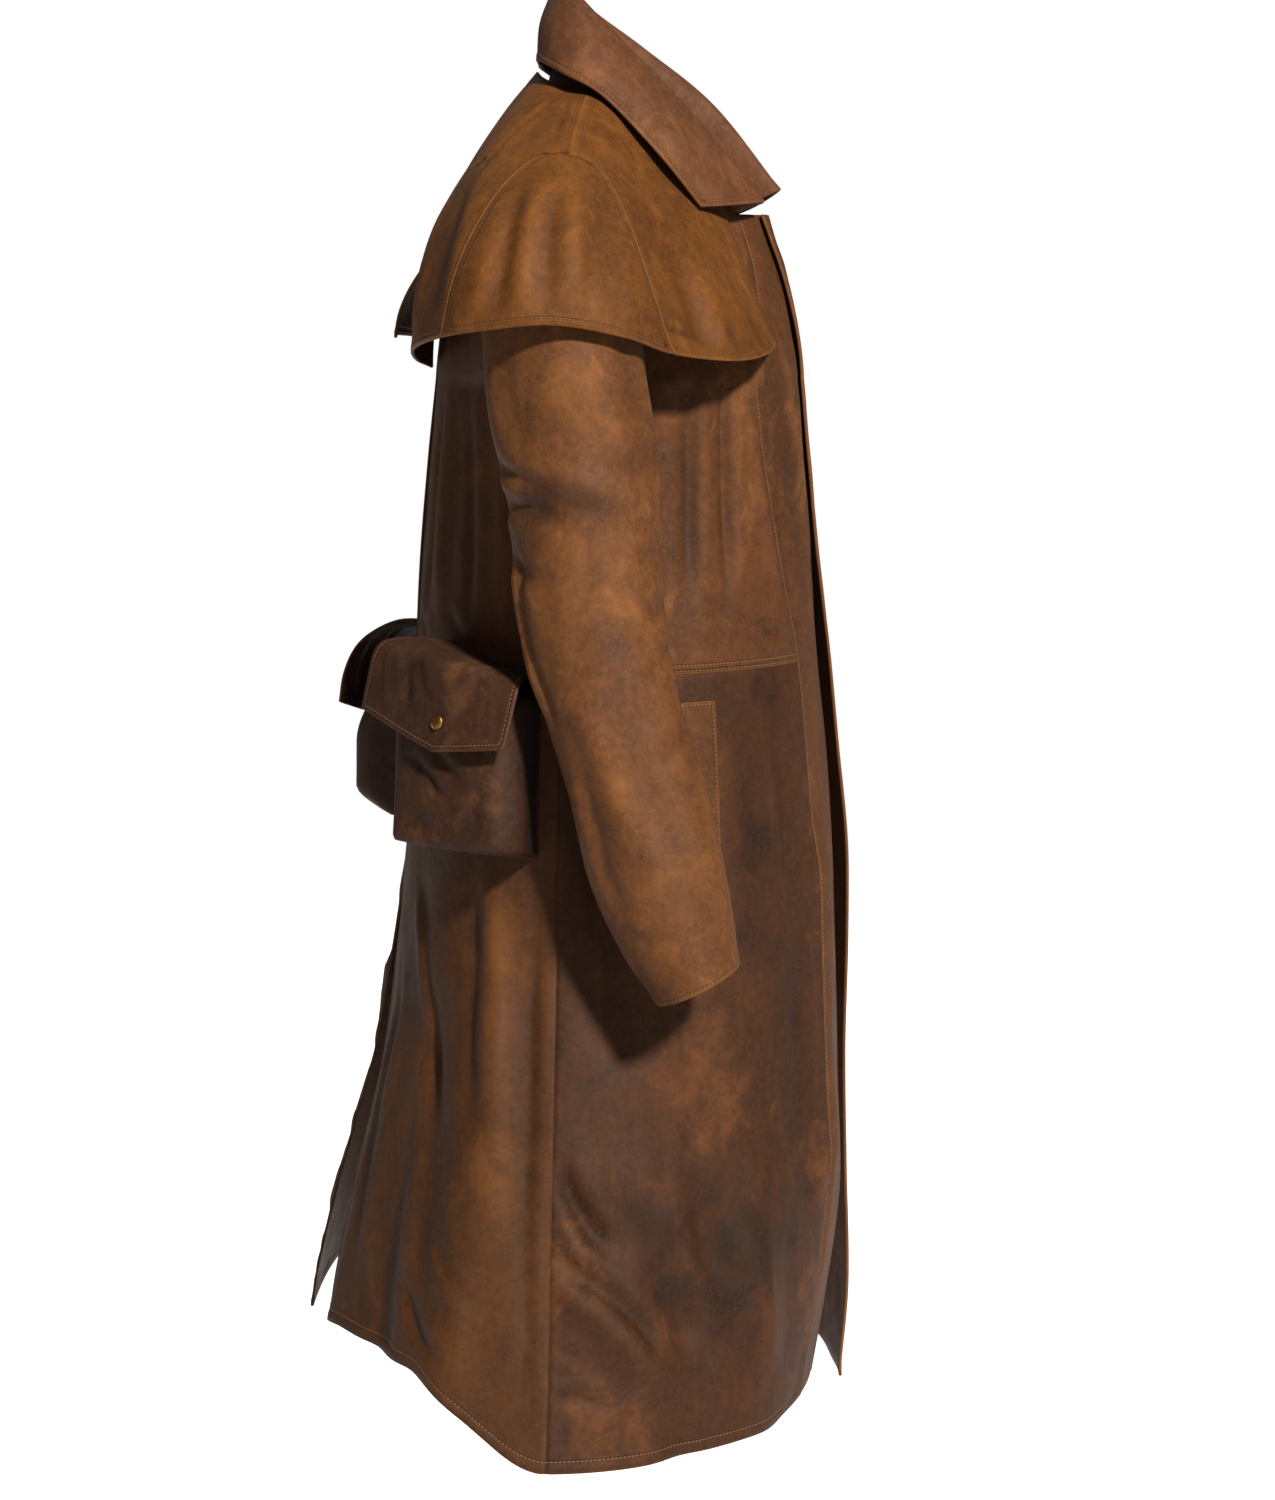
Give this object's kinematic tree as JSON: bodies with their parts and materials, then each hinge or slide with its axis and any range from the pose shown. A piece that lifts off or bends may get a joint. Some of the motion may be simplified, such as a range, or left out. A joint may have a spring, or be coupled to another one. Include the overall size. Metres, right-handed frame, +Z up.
{
  "type": "duster coat",
  "caption": "Long leather duster coat, hanging as it is worn, with a shoulder cape, turned-down collar, waist seam, back vent, hip pockets and an open hem.",
  "frame": {"origin": "between the shoulders, on the axis of the neck, at the height of the neck seam", "axes": "+Z up, the front towards -Y, the wearer's right towards -X"},
  "size_m": [0.6658, 0.4572, 1.1656],
  "materials": {
    "body_leather": "worn brown leather, mottled",
    "skirt_leather": "worn dark brown leather",
    "cape_leather": "worn golden brown leather",
    "collar_leather": "worn greyish brown leather",
    "brass": "aged, dull"
  },
  "bodies": {
    "root": {"back_right": "body_leather", "bodice_front_right": "body_leather", "skirt_front_right": "skirt_leather", "placket_right": "body_leather", "sleeve_upper_right": "body_leather", "sleeve_under_right": "body_leather", "cape_front_right": "cape_leather", "cape_arm_right": "cape_leather", "cape_back_right": "cape_leather", "pocket_bag_right": "skirt_leather", "pocket_flap_right": "skirt_leather", "snap_right": "brass", "pocket_welt_right": "skirt_leather", "back_left": "body_leather", "bodice_front_left": "body_leather", "skirt_front_left": "skirt_leather", "placket_left": "body_leather", "sleeve_upper_left": "body_leather", "sleeve_under_left": "body_leather", "cape_front_left": "cape_leather", "cape_arm_left": "cape_leather", "cape_back_left": "cape_leather", "pocket_bag_left": "skirt_leather", "pocket_flap_left": "skirt_leather", "snap_left": "brass", "pocket_welt_left": "skirt_leather", "collar_stand": "collar_leather", "collar_leaf": "collar_leather"}
  },
  "joints": []
}
